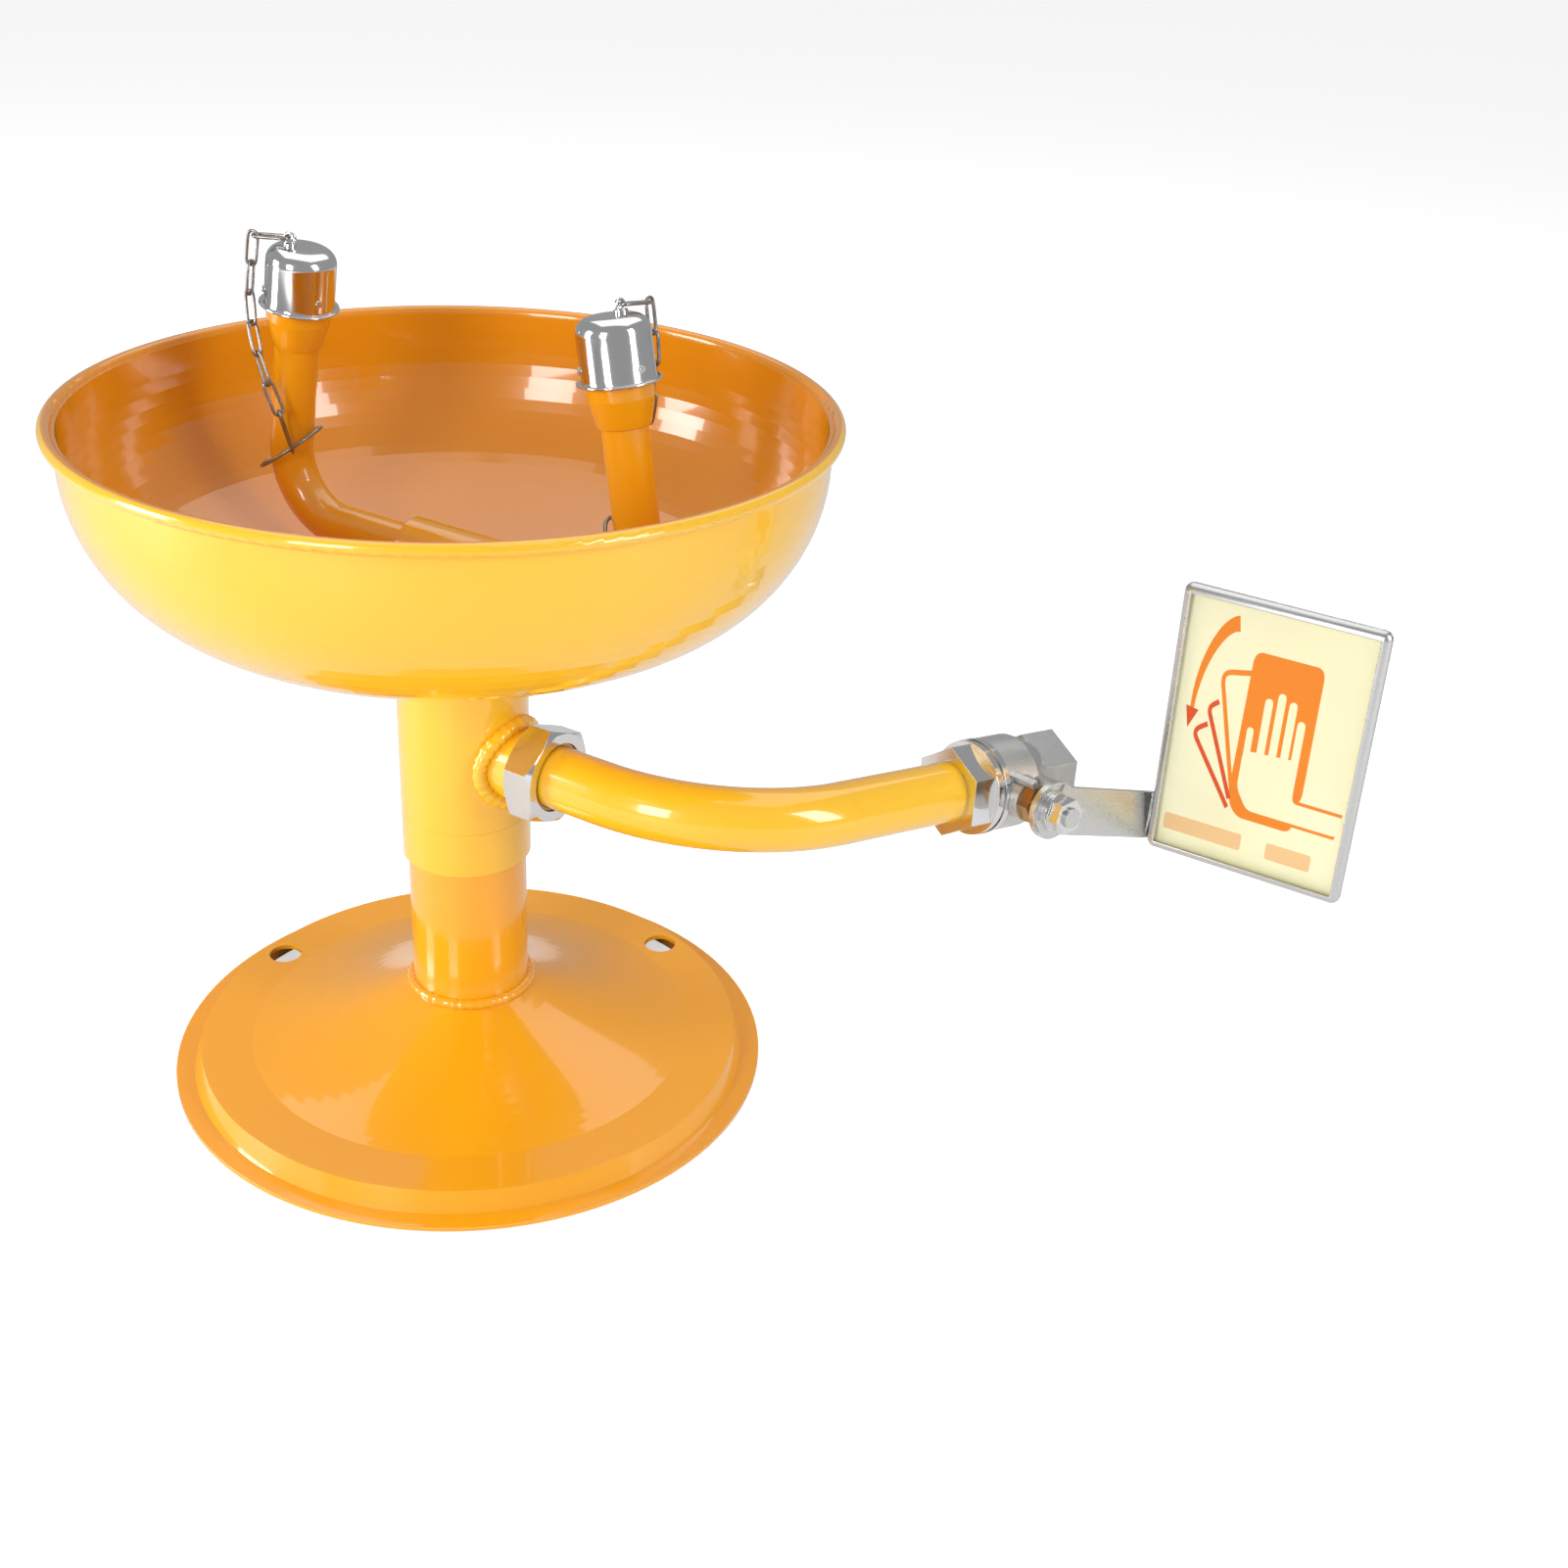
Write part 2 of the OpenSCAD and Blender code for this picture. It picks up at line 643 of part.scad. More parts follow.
module valve_body() {
    module lug(a) {
        rotate([0, a, 0]) translate([lug_r0, -gland_y - gland_l, -1.5])
            cube([lug_r1 - lug_r0, gland_y + gland_l - 14, 3]);
    }
    color("darkgray") at_valve() difference() {
        union() {
            along_x() rod(valve_r, cap_joint, 9);
            along_x() rotate_extrude() polygon([[0, 9], [valve_r, 9], [valve_af / 2, hex_out_x + 2], [0, hex_out_x + 2]]);
            along_x() hex_rod(valve_af, hex_out_x, valve_out);
            along_stem() rod(9, 10, gland_y);
            lug(-(ear_angle + lug_gap));
            lug(-(ear_angle - 90 - lug_gap));
        }
        along_x() {
            rod(cavity_r, cap_joint - over, 0);
            rod(ball_bore_r + 4, 0, ball_r + 1.5);
            rod(ball_bore_r, 0, valve_out);
            rod(thread_r, valve_out - thread_l, valve_out + over);
            rod(valve_r + 0.5, cap_joint - 10, cap_joint);
        }
        sphere(r = cavity_r);
        along_stem() {
            rod(stem_r + run, 0, gland_y + over);
            rod(stem_r + 2.5, gland_y - 5, gland_y + over);
        }
    }
}

module body_seal() {
    color("white") at_valve() along_x() ring(seal_r - 0.1, ball_bore_r + 4.1, cap_joint - 1, cap_joint);
}

// flow is -1 for the seat next to the supply pipe and 1 for the far one
module ball_seat(flow) {
    color("white") at_valve() difference() {
        along_x() rotate([0, flow < 0 ? 180 : 0, 0])
            ring(ball_bore_r + 4 - fit, ball_bore_r, ball_r - 5, ball_r + 1.5);
        sphere(r = ball_r + run);
    }
}

// shut: the way through stands across the flow
module valve_ball() {
    color("lightgray") at_valve() difference() {
        sphere(r = ball_r);
        rod(ball_bore_r, -ball_r - over, ball_r + over);
        translate([-1.6, -ball_r - over, -6]) cube([3.2, 4, 12]);
    }
}

module valve_stem() {
    color("silver") at_valve() {
        along_stem() rod(stem_r, ball_r + 0.5, stem_end);
        translate([-1.5, -ball_r - 0.6, -2.6]) cube([3, 3.4, 5.2]);
    }
}

module stem_packing() {
    color("white") at_valve() along_stem() ring(stem_r + 2.5 - fit, stem_r + run, gland_y - 5, gland_y - 0.5);
}

module gland_nut() {
    color("peru") at_valve() along_stem() difference() {
        union() {
            rod(stem_r + 2.5 - fit, gland_y - 0.5, gland_y + 1);
            hex_rod(gland_af, gland_y, gland_y + gland_l);
        }
        rod(stem_r + run, gland_y - 2, gland_y + gland_l + over);
    }
}

module valve_lever() {
    y0 = -lever_y;
    color("whitesmoke") difference() {
        union() {
            at_valve() rotate([0, lever_droop, 0]) {
                along_stem() rod(lug_r1, lever_y, lever_y + lever_t);
                translate([0, y0 - lever_t, -lever_w / 2]) cube([lever_l, lever_t, lever_w]);
            }
            at_valve() rotate([0, -ear_angle, 0])
                translate([lug_r0, y0 - lever_t, -2]) cube([lug_r1 - lug_r0, lever_t + 7.5, 4]);
            hull() {
                at_valve() rotate([0, lever_droop, 0])
                    translate([lever_l - 0.5, y0 - lever_t, -lever_w / 2]) cube([0.5, lever_t, lever_w]);
                translate([fold.x + 1, fold.y, fold.z - lever_w / 2]) cube([1, lever_t, lever_w]);
            }
            translate([fold.x + 1.5, fold.y, fold.z - lever_w / 2]) cube([tab_l, lever_t, lever_w]);
        }
        at_valve() along_stem() rod(stem_r + 0.1, lever_y - over, lever_y + lever_t + over);
        for (x = rivet_xs) translate([x, fold.y - over, fold.z]) rotate([-90, 0, 0])
            cylinder(r = rivet_r + 0.1, h = lever_t + 2 * over);
    }
}

module lock_washer() {
    y1 = lever_y + lever_t;
    color("silver") at_valve() difference() {
        union() {
            along_stem() rod(8.5, y1, y1 + washer_t);
            for (a = [150, 300]) rotate([0, a, 0]) translate([0, -y1 - washer_t, -2.5]) cube([11, washer_t, 5]);
        }
        along_stem() rod(stem_r + 0.1, y1 - over, y1 + 2 * washer_t);
    }
}

module handle_nut() {
    y1 = lever_y + lever_t + washer_t;
    color("silver") at_valve() along_stem() rotate([0, 0, 12]) difference() {
        union() {
            rod(nut_flange_r, y1, y1 + nut_flange_t);
            hex_rod(nut_af, y1 + nut_flange_t - 0.01, y1 + nut_flange_t + nut_l);
        }
        rod(stem_r + 0.1, y1 - over, y1 + nut_flange_t + nut_l + over);
    }
}

// ---- push plate

// a rounded sheet that lies in the XZ plane, facing -Y
module rounded_sheet(x, z, w, h, r, y0, t) {
    translate([0, y0 + t, 0]) rotate([90, 0, 0]) linear_extrude(t) difference() {
        translate([x, z]) square([w, h]);
        for (i = [0, 1], j = [0, 1]) translate([x + i * w, z + j * h]) mirror([i, 0]) mirror([0, j])
            difference() {
                translate([-over, -over]) square(r + over);
                translate([r, r]) circle(r = r);
            }
    }
}

module push_plate() {
    y0 = fold.y - plate_t;
    color("whitesmoke") difference() {
        rounded_sheet(plate_x, plate_z, plate_w, plate_h, 5, y0 - lip, lip + plate_t);
        rounded_sheet(plate_x + plate_t, plate_z + plate_t, plate_w - 2 * plate_t,
            plate_h - 2 * plate_t, 5 - plate_t, y0 - lip - over, lip + over);
        for (x = rivet_xs) translate([x, y0 - over, fold.z]) rotate([-90, 0, 0])
            cylinder(r = rivet_r + 0.1, h = plate_t + 2 * over);
    }
}

module plate_label() {
    inset = 2.6;
    color("lightyellow") rounded_sheet(plate_x + inset, plate_z + inset, plate_w - 2 * inset,
        plate_h - 2 * inset, 3, fold.y - plate_t - label_t, label_t);
}

module plate_rivets() {
    color("silver") for (x = rivet_xs) translate([x, fold.y - plate_t, fold.z]) rotate([-90, 0, 0]) {
        cylinder(r = rivet_r, h = plate_t + lever_t + 0.5);
        translate([0, 0, plate_t + lever_t]) cylinder(r = rivet_r + 1.6, h = 1.4);
    }
}

base_flange();
base_weld();
column_tube();
column_socket();
upper_column();
inlet_boss();
boss_weld();
supply_elbow();
supply_riser();
bowl();
drain_gasket();
drain_strainer();
drain_locknut();
spray_tee();
spray_arm(-1);  // left_arm
spray_arm(1);  // right_arm
spray_head(-1);  // left_head
spray_head(1);  // right_head
spray_disc(-1);  // left_spray_disc
spray_disc(1);  // right_spray_disc
head_filter(-1);  // left_filter
head_filter(1);  // right_filter
cap_shell(-1);  // left_cap_shell
cap_shell(1);  // right_cap_shell
cap_rivets(-1);  // left_cap_rivets
cap_rivets(1);  // right_cap_rivets
cap_eye(-1);  // left_cap_eye
cap_eye(1);  // right_cap_eye
chain(-1);  // left_chain
chain(1);  // right_chain
pipe_ring(-1);  // left_pipe_ring
pipe_ring(1);  // right_pipe_ring
union_gasket();
union_tail();
union_nut();
supply_pipe();
valve_end_cap();
valve_body();
body_seal();
ball_seat(1);  // inlet_seat
ball_seat(-1);  // outlet_seat
valve_ball();
valve_stem();
stem_packing();
gland_nut();
valve_lever();
lock_washer();
handle_nut();
push_plate();
plate_label();
plate_rivets();
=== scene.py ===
# %% [markdown]
# # A bench-mounted eyewash
# The station is sheet metal and pipe in glossy yellow enamel, with polished caps, a cast ball
# valve and a folded push plate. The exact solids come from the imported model; this lesson gives
# them their finishes, and rebuilds the pieces whose charm is in small shapes: welds, chains,
# the folded plate and its printed sign.

import json
import math
import random

import bpy
from mathutils import Matrix, Vector


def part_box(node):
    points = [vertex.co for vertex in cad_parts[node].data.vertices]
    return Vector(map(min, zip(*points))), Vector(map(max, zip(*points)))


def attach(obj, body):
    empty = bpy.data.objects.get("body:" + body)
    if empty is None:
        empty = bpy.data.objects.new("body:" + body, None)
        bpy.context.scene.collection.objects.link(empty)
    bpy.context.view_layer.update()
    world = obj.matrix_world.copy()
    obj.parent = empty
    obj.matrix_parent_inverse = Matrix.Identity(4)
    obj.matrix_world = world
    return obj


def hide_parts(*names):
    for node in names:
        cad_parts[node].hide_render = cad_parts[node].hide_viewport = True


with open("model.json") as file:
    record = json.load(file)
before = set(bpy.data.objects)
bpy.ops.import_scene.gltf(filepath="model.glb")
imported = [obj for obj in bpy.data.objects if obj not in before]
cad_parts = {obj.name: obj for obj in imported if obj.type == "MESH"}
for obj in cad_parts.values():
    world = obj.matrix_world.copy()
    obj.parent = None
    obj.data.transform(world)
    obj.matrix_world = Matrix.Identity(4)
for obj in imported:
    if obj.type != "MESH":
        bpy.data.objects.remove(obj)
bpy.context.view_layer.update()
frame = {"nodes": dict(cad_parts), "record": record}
MM = 0.001
scene = bpy.context.scene
nodes = frame["nodes"]

# %% [markdown]
# ## The camera
# It stands in front of the bowl and to its right, at the height of a user's chest, and looks
# down. A camera can be aimed with a tracking constraint, but this one also leans a little, so
# its three axes are worked out and written as the columns of its matrix.

# %% Place the camera
TURN, PITCH, LEAN = math.radians(31), math.radians(27.7), math.radians(3.06)
STAND = (0.4711, -0.5336, 0.502)
FOCAL_LENGTH, SENSOR_WIDTH = 44.97, 36
across = Vector((math.cos(TURN), math.sin(TURN), 0))
ahead = Vector((-math.sin(TURN), math.cos(TURN), 0))
forward = math.cos(PITCH) * ahead - math.sin(PITCH) * Vector((0, 0, 1))
upward = math.sin(PITCH) * ahead + math.cos(PITCH) * Vector((0, 0, 1))
side_axis = math.cos(LEAN) * across + math.sin(LEAN) * upward
top_axis = math.cos(LEAN) * upward - math.sin(LEAN) * across
lens = bpy.data.cameras.new("studio_camera")
lens.lens = FOCAL_LENGTH
lens.sensor_width = SENSOR_WIDTH
camera = bpy.data.objects.new("studio_camera", lens)
scene.collection.objects.link(camera)
camera.matrix_world = Matrix.Translation(STAND) @ Matrix(
    (side_axis, top_axis, -forward)).transposed().to_4x4()
scene.camera = camera
print("camera", tuple(round(c, 3) for c in camera.location))

# %% [markdown]
# ## Floor and light
# Enamel and polished steel show their lights more than their own colour. Large soft panels give
# the long pale streaks that make a surface read as gloss, and a pale room fills the rest. The
# floor is one big plane, which isn't part of the object. It glows a little for the camera alone,
# so that it reads as clean white paper without lighting the underside.

# %% Make the floor and the lights
def deselect():
    bpy.ops.object.select_all(action="DESELECT")


def pick(piece):
    """Makes a piece the only selected one, and the active one."""
    deselect()
    piece.select_set(True)
    bpy.context.view_layer.objects.active = piece


def plain_material(name, colour, roughness):
    material = bpy.data.materials.new(name)
    material.use_nodes = True
    shader = material.node_tree.nodes["Principled BSDF"]
    shader.inputs["Base Color"].default_value = (*colour, 1)
    shader.inputs["Roughness"].default_value = roughness
    return material


FLOOR_SIZE, FLOOR_DROP, PAPER_GLOW = 12, 0.6 * MM, 0.6
deselect()
bpy.ops.mesh.primitive_plane_add(size=FLOOR_SIZE, location=(0, 0, -FLOOR_DROP))
floor = bpy.context.object
floor.name = "studio_floor"
paper = plain_material("white paper", (0.86, 0.86, 0.86), 0.6)
paper.node_tree.nodes["Principled BSDF"].inputs["Emission Color"].default_value = (1, 1, 1, 1)
sheet_nodes, sheet_links = paper.node_tree.nodes, paper.node_tree.links
glow = sheet_nodes.new("ShaderNodeMath")
glow.operation = "MULTIPLY"
glow.inputs[1].default_value = PAPER_GLOW
sheet_links.new(sheet_nodes.new("ShaderNodeLightPath").outputs["Is Camera Ray"], glow.inputs[0])
sheet_links.new(glow.outputs["Value"], sheet_nodes["Principled BSDF"].inputs["Emission Strength"])
floor.data.materials.append(paper)


def soft_panel(name, place, target, width, height, power):
    panel = bpy.data.lights.new(name, "AREA")
    panel.shape = "RECTANGLE"
    panel.size, panel.size_y = width, height
    panel.energy = power
    lamp = bpy.data.objects.new(name, panel)
    scene.collection.objects.link(lamp)
    lamp.location = place
    lamp.rotation_euler = (Vector(target) - Vector(place)).to_track_quat("-Z", "Y").to_euler()
    return lamp


MIDDLE = (0.08, 0.0, 0.16)
ROOM_LIGHT = 0.36
soft_panel("left_panel", (-1.1, -1.1, 0.45), MIDDLE, 0.5, 1.0, 15)
soft_panel("front_panel", (0.2, -1.7, 0.7), MIDDLE, 0.5, 0.9, 13)
soft_panel("right_panel", (1.5, 0.1, 0.8), MIDDLE, 0.4, 1.0, 9)
soft_panel("top_panel", (-0.2, 0.5, 1.6), MIDDLE, 1.8, 1.8, 10)
room = bpy.data.worlds.new("pale_room")
room.use_nodes = True
fill = room.node_tree.nodes["Background"]
fill.inputs["Color"].default_value = (0.97, 0.98, 1.0, 1)
seen = room.node_tree.nodes.new("ShaderNodeLightPath").outputs["Is Camera Ray"]
level = room.node_tree.nodes.new("ShaderNodeMapRange")
level.inputs["To Min"].default_value = ROOM_LIGHT
level.inputs["To Max"].default_value = 1.0
room.node_tree.links.new(seen, level.inputs["Value"])
room.node_tree.links.new(level.outputs["Result"], fill.inputs["Strength"])
scene.world = room
scene.view_settings.view_transform = "Standard"

# %% [markdown]
# ## Effects that several finishes share
# No real surface is perfectly even. A node group is a small machine that can be placed in many
# materials, each with its own values. The first makes a fine unevenness that changes over the
# surface; the second makes the long scratches of brushed sheet by stretching noise one way.

# %% Build the shared groups
def new_group(name, inputs, outputs):
    group = bpy.data.node_groups.new(name, "ShaderNodeTree")
    for label, value in inputs:
        socket = group.interface.new_socket(label, in_out="INPUT", socket_type="NodeSocketFloat")
        socket.default_value = value
    for label in outputs:
        group.interface.new_socket(label, in_out="OUTPUT", socket_type="NodeSocketFloat")
    return group, group.nodes.new("NodeGroupInput"), group.nodes.new("NodeGroupOutput")


def remap(tree, source, low, high):
    scale = tree.nodes.new("ShaderNodeMapRange")
    scale.inputs["From Min"].default_value = 0.3
    scale.inputs["From Max"].default_value = 0.7
    tree.links.new(source, scale.inputs["Value"])
    for value, socket in ((low, "To Min"), (high, "To Max")):
        if isinstance(value, (int, float)):
            scale.inputs[socket].default_value = value
        else:
            tree.links.new(value, scale.inputs[socket])
    return scale.outputs["Result"]


def noise(tree, vector, scale, detail):
    texture = tree.nodes.new("ShaderNodeTexNoise")
    texture.inputs["Detail"].default_value = detail
    tree.links.new(vector, texture.inputs["Vector"])
    if isinstance(scale, (int, float)):
        texture.inputs["Scale"].default_value = scale
    else:
        tree.links.new(scale, texture.inputs["Scale"])
    return texture.outputs["Fac"]


uneven, uneven_in, uneven_out = new_group(
    "surface unevenness",
    (("Fine scale", 300.0), ("Broad scale", 14.0),
     ("Low roughness", 0.1), ("High roughness", 0.2)),
    ("Height", "Roughness", "Broad mask"))
place = uneven.nodes.new("ShaderNodeTexCoord").outputs["Object"]
fine = noise(uneven, place, uneven_in.outputs["Fine scale"], 3)
broad = noise(uneven, place, uneven_in.outputs["Broad scale"], 2)
uneven.links.new(fine, uneven_out.inputs["Height"])
uneven.links.new(
    remap(uneven, broad, uneven_in.outputs["Low roughness"], uneven_in.outputs["High roughness"]),
    uneven_out.inputs["Roughness"])
uneven.links.new(remap(uneven, broad, 0.0, 1.0), uneven_out.inputs["Broad mask"])

brushed, brushed_in, brushed_out = new_group(
    "brushed grain",
    (("Along", 30.0), ("Across", 1800.0), ("Low roughness", 0.2), ("High roughness", 0.35)),
    ("Height", "Roughness"))
place = brushed.nodes.new("ShaderNodeTexCoord").outputs["Object"]
stretch = brushed.nodes.new("ShaderNodeCombineXYZ")
brushed.links.new(brushed_in.outputs["Along"], stretch.inputs["X"])
brushed.links.new(brushed_in.outputs["Across"], stretch.inputs["Y"])
brushed.links.new(brushed_in.outputs["Across"], stretch.inputs["Z"])
multiply = brushed.nodes.new("ShaderNodeVectorMath")
multiply.operation = "MULTIPLY"
brushed.links.new(place, multiply.inputs[0])
brushed.links.new(stretch.outputs["Vector"], multiply.inputs[1])
streaks = noise(brushed, multiply.outputs["Vector"], 1.0, 4)
brushed.links.new(streaks, brushed_out.inputs["Height"])
brushed.links.new(
    remap(brushed, streaks, brushed_in.outputs["Low roughness"],
          brushed_in.outputs["High roughness"]),
    brushed_out.inputs["Roughness"])
print("groups:", [g.name for g in bpy.data.node_groups])

# %% [markdown]
# ## Finishes
# Each finish is a Principled shader fed by those groups. A bend in the light at an edge tells
# the eye that a part is solid, so a Bevel node rounds the sharp edges of the exact solids when
# they are shaded, without touching their shape.

# %% Mix the finishes
def finish(name, colour, second, group, values, bump=0.00002, edge=0.3, **settings):
    """A Principled material; settings are the shader's own sockets, such as Metallic."""
    material = bpy.data.materials.new(name)
    material.use_nodes = True
    tree = material.node_tree
    shader = tree.nodes["Principled BSDF"]
    for label, value in settings.items():
        shader.inputs[label.replace("_", " ")].default_value = value
    effect = tree.nodes.new("ShaderNodeGroup")
    effect.node_tree = group
    for label, value in values.items():
        effect.inputs[label].default_value = value
    tree.links.new(effect.outputs["Roughness"], shader.inputs["Roughness"])
    tint = tree.nodes.new("ShaderNodeMix")
    tint.data_type = "RGBA"
    tint.inputs["A"].default_value = (*colour, 1)
    tint.inputs["B"].default_value = (*second, 1)
    mask = effect.outputs["Broad mask" if group == uneven else "Height"]
    tree.links.new(mask, tint.inputs["Factor"])
    tree.links.new(tint.outputs["Result"], shader.inputs["Base Color"])
    relief = tree.nodes.new("ShaderNodeBump")
    relief.inputs["Distance"].default_value = bump
    relief.inputs["Strength"].default_value = 1.0
    tree.links.new(effect.outputs["Height"], relief.inputs["Height"])
    if edge:
        rounding = tree.nodes.new("ShaderNodeBevel")
        rounding.samples = 4
        rounding.inputs["Radius"].default_value = edge * MM
        tree.links.new(rounding.outputs["Normal"], relief.inputs["Normal"])
    tree.links.new(relief.outputs["Normal"], shader.inputs["Normal"])
    return material


def enamel(name, colour, second):
    return finish(
        name, colour, second, uneven,
        {"Fine scale": 260.0, "Broad scale": 9.0, "Low roughness": 0.16, "High roughness": 0.24},
        bump=0.000008, edge=0.5, Coat_Weight=1.0, Coat_Roughness=0.03, IOR=1.5)


finishes = {
    "yellow": enamel("orange-yellow enamel", (0.97, 0.43, 0.006), (0.95, 0.41, 0.006)),
    "bright_yellow": enamel("bright yellow enamel", (0.99, 0.56, 0.020), (0.97, 0.53, 0.018)),
    "steel": finish(
        "satin stainless sheet", (0.70, 0.70, 0.69), (0.62, 0.62, 0.61), brushed,
        {"Along": 25.0, "Across": 1600.0, "Low roughness": 0.22, "High roughness": 0.38},
        bump=0.000004, Metallic=1.0),
    "polished": finish(
        "polished stainless", (0.80, 0.80, 0.80), (0.76, 0.76, 0.75), uneven,
        {"Fine scale": 500.0, "Broad scale": 60.0, "Low roughness": 0.07, "High roughness": 0.14},
        bump=0.000003, Metallic=1.0),
    "cast_steel": finish(
        "blasted cast steel", (0.70, 0.70, 0.69), (0.56, 0.56, 0.55), uneven,
        {"Fine scale": 1400.0, "Broad scale": 120.0, "Low roughness": 0.32, "High roughness": 0.5},
        bump=0.00012, edge=0.8, Metallic=1.0),
    "chain_steel": finish(
        "chain wire", (0.36, 0.35, 0.34), (0.28, 0.27, 0.26), uneven,
        {"Fine scale": 900.0, "Broad scale": 200.0, "Low roughness": 0.22, "High roughness": 0.36},
        bump=0.00001, edge=0, Metallic=1.0),
    "bronze": finish(
        "machined bronze", (0.52, 0.30, 0.13), (0.44, 0.25, 0.11), uneven,
        {"Fine scale": 700.0, "Broad scale": 80.0, "Low roughness": 0.2, "High roughness": 0.34},
        bump=0.000005, Metallic=1.0),
    "rubber": finish(
        "black rubber", (0.03, 0.03, 0.03), (0.045, 0.045, 0.045), uneven,
        {"Fine scale": 900.0, "Broad scale": 60.0, "Low roughness": 0.55, "High roughness": 0.7}),
    "white_seal": finish(
        "white seal", (0.85, 0.85, 0.83), (0.80, 0.80, 0.78), uneven,
        {"Fine scale": 500.0, "Broad scale": 60.0, "Low roughness": 0.4, "High roughness": 0.5}),
    "filter": finish(
        "foam filter", (0.78, 0.79, 0.76), (0.66, 0.67, 0.64), uneven,
        {"Fine scale": 2200.0, "Broad scale": 700.0, "Low roughness": 0.8, "High roughness": 0.9},
        bump=0.0003),
    "label": finish(
        "printed label", (1.0, 0.98, 0.70), (1.0, 0.97, 0.62), uneven,
        {"Fine scale": 400.0, "Broad scale": 12.0, "Low roughness": 0.3, "High roughness": 0.36},
        bump=0.000003, edge=0),
}
for entry in frame["record"]["subparts"]:
    piece = nodes[entry["node"]]
    piece.data.materials.clear()
    piece.data.materials.append(finishes[entry["material_slot"]])
print("finishes:", len(finishes), "on", len(nodes), "solids")

# %% [markdown]
# ## The bowl's two colours
# Light that falls into the bowl bounces from yellow to yellow, and each bounce takes more of the
# blue and green out, so the inside looks deeper than the outside. That shade is painted here: the
# inside of the bowl gets a darker, redder enamel colour than the outside. Which side a point is on
# is read from its normal: outside, it points away from a spot above the middle of the bowl, and
# inside, it points towards it.

# %% Paint shade into the inside of the bowl
def enamel_with_painted_inner_shade(name, outside, inside, centre):
    material = enamel(name, outside, outside)
    tree = material.node_tree
    coordinates = tree.nodes.new("ShaderNodeTexCoord")
    away = tree.nodes.new("ShaderNodeVectorMath")
    away.operation = "SUBTRACT"
    away.inputs[1].default_value = centre
    facing = tree.nodes.new("ShaderNodeVectorMath")
    facing.operation = "DOT_PRODUCT"
    mask = tree.nodes.new("ShaderNodeMapRange")
    mask.inputs["From Min"].default_value = -0.01
    mask.inputs["From Max"].default_value = 0.01
    tree.links.new(coordinates.outputs["Object"], away.inputs[0])
    tree.links.new(away.outputs["Vector"], facing.inputs[0])
    tree.links.new(coordinates.outputs["Normal"], facing.inputs[1])
    tree.links.new(facing.outputs["Value"], mask.inputs["Value"])
    sides = tree.nodes.new("ShaderNodeMix")
    sides.data_type = "RGBA"
    sides.inputs["A"].default_value = (*inside, 1)
    sides.inputs["B"].default_value = (*outside, 1)
    tree.links.new(mask.outputs["Result"], sides.inputs["Factor"])
    tree.links.new(sides.outputs["Result"],
                   tree.nodes["Principled BSDF"].inputs["Base Color"])
    return material


bowl_low, bowl_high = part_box("bowl")
# The inside colour is painted shade: the same enamel, made darker and redder where the bowl is
# hollow.
bowl_enamel = enamel_with_painted_inner_shade("bowl enamel with painted inner shade", (0.99, 0.55, 0.020), (0.80, 0.295, 0.004),
                               (0, 0, bowl_high.z + 0.05))
# The arms, the heads and the tee in the bowl get a darker orange enamel than the outside, as
# painted shade of the bowl.
bowl_shade_enamel = enamel("orange enamel with painted bowl shade", (0.90, 0.38, 0.006), (0.87, 0.36, 0.006))
nodes["bowl"].data.materials[0] = bowl_enamel
for name in ("left_arm", "right_arm", "left_head", "right_head", "spray_tee"):
    nodes[name].data.materials[0] = bowl_shade_enamel
print("bowl height:", round((bowl_high.z - bowl_low.z) / MM, 1), "mm")

# %% [markdown]
# ## Weld beads
# A welder lays a bead as a row of overlapping drops, so it has small ripples all the way round.
# The beads could be sculpted, but a round curve whose radius swells and shrinks from point to
# point gives the same drops and stays easy to change. One bead runs round the foot of the
# column; the other follows the saddle where the round inlet meets the round column.

# %% Lay the welds
random.seed(4)


def weld(name, path, radius, body, node, slot):
    """A rippled bead along a closed ring of points, in metres."""
    curve = bpy.data.curves.new(name, "CURVE")
    curve.dimensions = "3D"
    curve.bevel_depth = radius
    curve.bevel_resolution = 3
    spline = curve.splines.new("POLY")
    spline.points.add(len(path) - 1)
    for i, (point, place) in enumerate(zip(spline.points, path)):
        point.co = (*place, 1)
        point.radius = (1.0, 1.06, 0.9)[i % 3] * random.uniform(0.96, 1.04)
    spline.use_cyclic_u = True
    bead = bpy.data.objects.new(name, curve)
    scene.collection.objects.link(bead)
    pick(bead)
    bpy.ops.object.convert(target="MESH")
    bpy.ops.object.shade_smooth()
    bead = bpy.context.object
    bead.data.materials.clear()
    bead.data.materials.append(finishes[slot])
    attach(bead, body)
    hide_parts(node)
    print(name, "drops:", len(path) // 3)
    return bead


tube_low, tube_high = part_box("column_tube")
foot_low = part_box("base_weld")[0]
tube_radius = (tube_high.x - tube_low.x) / 2
FOOT_BEAD, INLET_BEAD = 2.3 * MM, 3.1 * MM          # radii of the two beads
ring = tube_radius + 0.6 * MM
turns = [2 * math.pi * i / 126 for i in range(126)]
weld("foot_weld_bead",
     [(ring * math.cos(a), ring * math.sin(a), foot_low.z + 0.9 * MM) for a in turns],
     FOOT_BEAD, "station", "base_weld", "yellow")

boss_low, boss_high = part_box("inlet_boss")
sleeve_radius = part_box("upper_column")[1].x
boss_radius = (boss_high.y - boss_low.y) / 2
boss_height = (boss_high.z + boss_low.z) / 2
ring = boss_radius + 1.3 * MM
turns = [2 * math.pi * i / 90 for i in range(90)]
weld("inlet_weld_bead",
     [(math.sqrt((sleeve_radius + 1.2 * MM) ** 2 - (ring * math.cos(a)) ** 2),
       ring * math.cos(a), boss_height + ring * math.sin(a)) for a in turns],
     INLET_BEAD, "station", "boss_weld", "bright_yellow")

